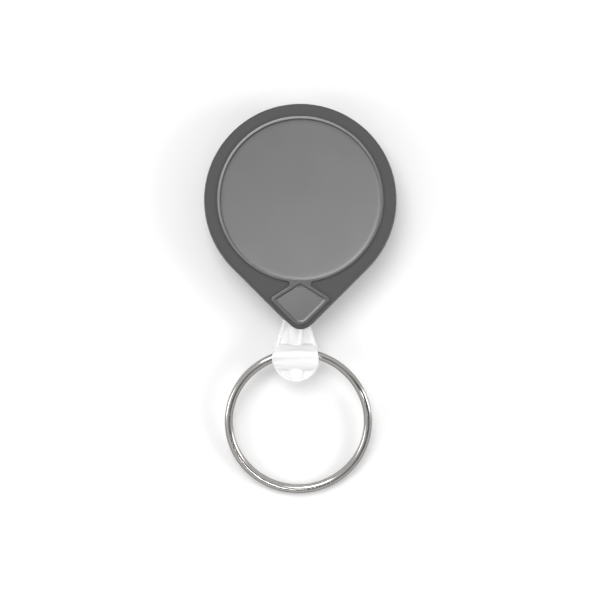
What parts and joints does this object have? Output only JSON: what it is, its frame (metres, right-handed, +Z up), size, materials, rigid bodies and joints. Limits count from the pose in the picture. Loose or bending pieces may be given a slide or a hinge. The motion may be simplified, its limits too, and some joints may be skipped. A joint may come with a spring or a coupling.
{
  "type": "retractable key reel",
  "caption": "Teardrop key reel: a two-part plastic case with a spring-driven cord drum, clear ring holder, nickel split ring and steel belt clip.",
  "frame": {"origin": "on the flat underside of the belt clip's tongue, below the drum's axis", "axes": "+Z up along the drum's axis and out of the front face, -Y down to the tip and the split ring, +X to the right seen from the front"},
  "size_m": [0.037, 0.0755, 0.011],
  "materials": {
    "case_plastic": "satin moulded polycarbonate, dark grey, fine-textured rim",
    "clear_plastic": "clear polished moulded plastic",
    "nickel_wire": "bright nickel-plated steel wire",
    "clip_steel": "brushed stainless spring steel",
    "rivet_nickel": "nickel-plated",
    "screw_steel": "zinc-plated, bright",
    "post_brass": "turned",
    "drum_nylon": "moulded nylon, black",
    "washer_nylon": "natural nylon",
    "spring_steel": "blued spring strip",
    "cord_nylon": "braided natural nylon cord"
  },
  "bodies": {
    "case": {"front_shell": "case_plastic", "back_shell": "case_plastic", "case_screws": "screw_steel", "arbor_post": "post_brass", "centre_rivet": "rivet_nickel", "rear_washer": "washer_nylon", "front_washer": "washer_nylon", "power_spring": "spring_steel", "cord_eyelet": "rivet_nickel", "cord_run": "cord_nylon", "belt_clip": "clip_steel"},
    "drum": {"drum": "drum_nylon", "drum_flange": "drum_nylon", "cord_winding": "cord_nylon", "cord_crimp": "rivet_nickel"},
    "cord_end": {"cord_tail": "cord_nylon", "cord_stop": "rivet_nickel"},
    "holder": {"ring_holder": "clear_plastic"},
    "ring": {"split_ring": "nickel_wire"},
    "clip_leaf": {"clip_tongue": "clip_steel"}
  },
  "joints": [
    {"name": "cord_pull", "type": "slide", "parent": "case", "child": "cord_end", "axis": [0, -1, 0], "range_m": [0, 0.9], "stiffness_N_per_m": 0.78, "springref_m": -1.15},
    {"name": "drum_spin", "type": "hinge", "parent": "case", "child": "drum", "pos_m": [0, 0, 0.006], "axis": [0, 0, 1], "range_deg": [0, 4340], "deforming": ["power_spring"]},
    {"name": "holder_swivel", "type": "hinge", "parent": "cord_end", "child": "holder", "pos_m": [-0.00077, -0.0229, 0.0058], "axis": [0, -1, 0], "continuous": true},
    {"name": "ring_swing", "type": "hinge", "parent": "holder", "child": "ring", "pos_m": [-0.00077, -0.0299, 0.0058], "axis": [0.9962, 0, 0.0872], "range_deg": [-140, 120]},
    {"name": "clip_open", "type": "hinge", "parent": "case", "child": "clip_leaf", "pos_m": [0, 0.01675, 0.00125], "axis": [1, 0, 0], "range_deg": [0, 8], "stiffness_Nm_per_rad": 1.3, "springref_deg": -1.72}
  ],
  "couplings": [
    {"joint": "drum_spin", "follows": "cord_pull", "rad_per_m": 84.1}
  ]
}
